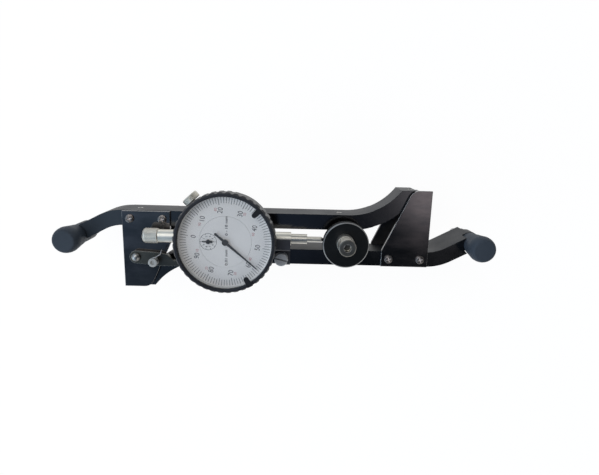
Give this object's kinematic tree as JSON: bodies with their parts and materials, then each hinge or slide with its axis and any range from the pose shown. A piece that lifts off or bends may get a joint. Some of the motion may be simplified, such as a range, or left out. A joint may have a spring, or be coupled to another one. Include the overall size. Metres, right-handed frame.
{
  "type": "hand-held strain gauge",
  "caption": "Hand-held mechanical strain gauge: two bent bars on leaf springs with conical points and round grips, a dial indicator, an adjustable round stop and a locking lever.",
  "frame": {"origin": "under the middle of the bars, at the level of the two points' tips; the line of the tips lies 1 mm to -Y of it", "axes": "+X along the gauge length from the left point to the right point, +Z out of the dial's face, away from the points, +Y across the bars towards the upper bar"},
  "size_m": [0.266, 0.0646, 0.0762],
  "materials": {
    "bar_black": "black anodised, satin",
    "cover_black": "polished and blackened, with a bright bevelled edge",
    "grip_slate": "dark slate anodised, matte",
    "point_steel": "ground, hardened",
    "bright_nickel": "nickel plated, bright",
    "screw_steel": "bright zinc",
    "dark_screw": "blackened",
    "spring_steel": "blued spring steel",
    "works_brass": "turned and cut",
    "dial_black": "satin black",
    "dial_white": "matte white enamel",
    "crystal_clear": "clear, polished",
    "pointer_black": "matte black",
    "stop_black": "black oxide with a bright edge",
    "contact_steel": "hardened steel"
  },
  "bodies": {
    "lower_frame": {"lower_bar": "bar_black", "right_grip": "grip_slate", "right_point": "point_steel", "right_front_cover": "cover_black", "right_rear_cover": "cover_black", "right_cover_screws": "screw_steel", "left_leaf_spring": "spring_steel", "right_leaf_spring": "spring_steel", "lower_leaf_clamps": "dark_screw", "lower_clamp_screws": "screw_steel", "lower_set_screws": "screw_steel", "stem_clamp": "bar_black", "stem_clamp_screw": "dark_screw", "lock_pin": "dark_screw", "dial_case": "dial_black", "back_cover": "dial_black", "back_cover_screws": "screw_steel", "stem": "bright_nickel", "rear_tube": "bright_nickel", "dust_cap": "bright_nickel", "return_spring": "spring_steel", "works_plate": "works_brass", "hairspring": "spring_steel", "centre_plate": "dial_white"},
    "upper_frame": {"upper_bar": "bar_black", "left_grip": "grip_slate", "left_point": "point_steel", "left_front_cover": "cover_black", "left_rear_cover": "cover_black", "left_cover_screws": "screw_steel", "upper_leaf_clamps": "dark_screw", "upper_clamp_screws": "screw_steel", "upper_set_screws": "screw_steel", "stop_spacer": "dark_screw", "stop_disc": "stop_black", "stop_collar": "screw_steel", "stop_screw": "screw_steel", "lever_washer": "screw_steel", "lever_pivot_screw": "bright_nickel"},
    "lever": {"lock_lever": "screw_steel", "lever_stud": "screw_steel", "lever_spring": "spring_steel"},
    "plunger_rod": {"plunger": "contact_steel", "contact_point": "contact_steel"},
    "counter": {"counter_gear": "works_brass", "turn_pointer": "pointer_black"},
    "centre": {"centre_arbor": "works_brass", "pointer": "pointer_black"},
    "take_up": {"take_up_gear": "works_brass"},
    "bezel_ring": {"bezel": "dial_black", "scale_carrier": "dial_white", "scale_ring": "dial_white", "crystal_spacer": "dial_black", "crystal": "crystal_clear"},
    "high_clip": {"high_marker": "pointer_black"},
    "low_clip": {"low_marker": "pointer_black"},
    "bezel_clamp": {"bezel_clamp_screw": "bright_nickel"}
  },
  "joints": [
    {"name": "bar_slide", "type": "slide", "parent": "lower_frame", "child": "upper_frame", "axis": [1, 0, 0], "range_m": [-0.002, 0.002], "stiffness_N_per_m": 6400, "deforming": ["left_leaf_spring", "right_leaf_spring"]},
    {"name": "plunger_slide", "type": "slide", "parent": "lower_frame", "child": "plunger_rod", "axis": [1, 0, 0], "range_m": [-0.0021, 0.0021], "deforming": ["return_spring"]},
    {"name": "pointer_turn", "type": "hinge", "parent": "lower_frame", "child": "centre", "pos_m": [-0.0287, 0.0027, 0.0711], "axis": [0, 0, 1], "range_deg": [-725, 725]},
    {"name": "counter_turn", "type": "hinge", "parent": "lower_frame", "child": "counter", "pos_m": [-0.03855, 0.0027, 0.0621], "axis": [0, 0, 1], "range_deg": [-73, 73]},
    {"name": "take_up_turn", "type": "hinge", "parent": "lower_frame", "child": "take_up", "pos_m": [-0.02116, -0.00363, 0.0621], "axis": [0, 0, 1], "range_deg": [-73, 73], "deforming": ["hairspring"]},
    {"name": "bezel_turn", "type": "hinge", "parent": "lower_frame", "child": "bezel_ring", "pos_m": [-0.0287, 0.0027, 0.0691], "axis": [0, 0, 1], "continuous": true},
    {"name": "high_clip_turn", "type": "hinge", "parent": "bezel_ring", "child": "high_clip", "pos_m": [-0.0287, 0.0027, 0.0756], "axis": [0, 0, 1], "range_deg": [-35, 60]},
    {"name": "low_clip_turn", "type": "hinge", "parent": "bezel_ring", "child": "low_clip", "pos_m": [-0.0287, 0.0027, 0.0756], "axis": [0, 0, 1], "range_deg": [-60, 30]},
    {"name": "bezel_clamp_turn", "type": "hinge", "parent": "lower_frame", "child": "bezel_clamp", "pos_m": [-0.04916, 0.02464, 0.058], "axis": [-0.682, 0.7314, 0], "range_deg": [-180, 180]},
    {"name": "lock_lever_turn", "type": "hinge", "parent": "upper_frame", "child": "lever", "pos_m": [-0.0864, -0.0125, 0.05], "axis": [0, 0, 1], "range_deg": [-6, 2], "stiffness_Nm_per_rad": 0.05}
  ],
  "couplings": [
    {"joint": "plunger_slide", "follows": "bar_slide", "ratio": 1},
    {"joint": "counter_turn", "follows": "bar_slide", "rad_per_m": -628.32},
    {"joint": "pointer_turn", "follows": "bar_slide", "rad_per_m": 6283.2},
    {"joint": "take_up_turn", "follows": "bar_slide", "rad_per_m": -628.32}
  ]
}
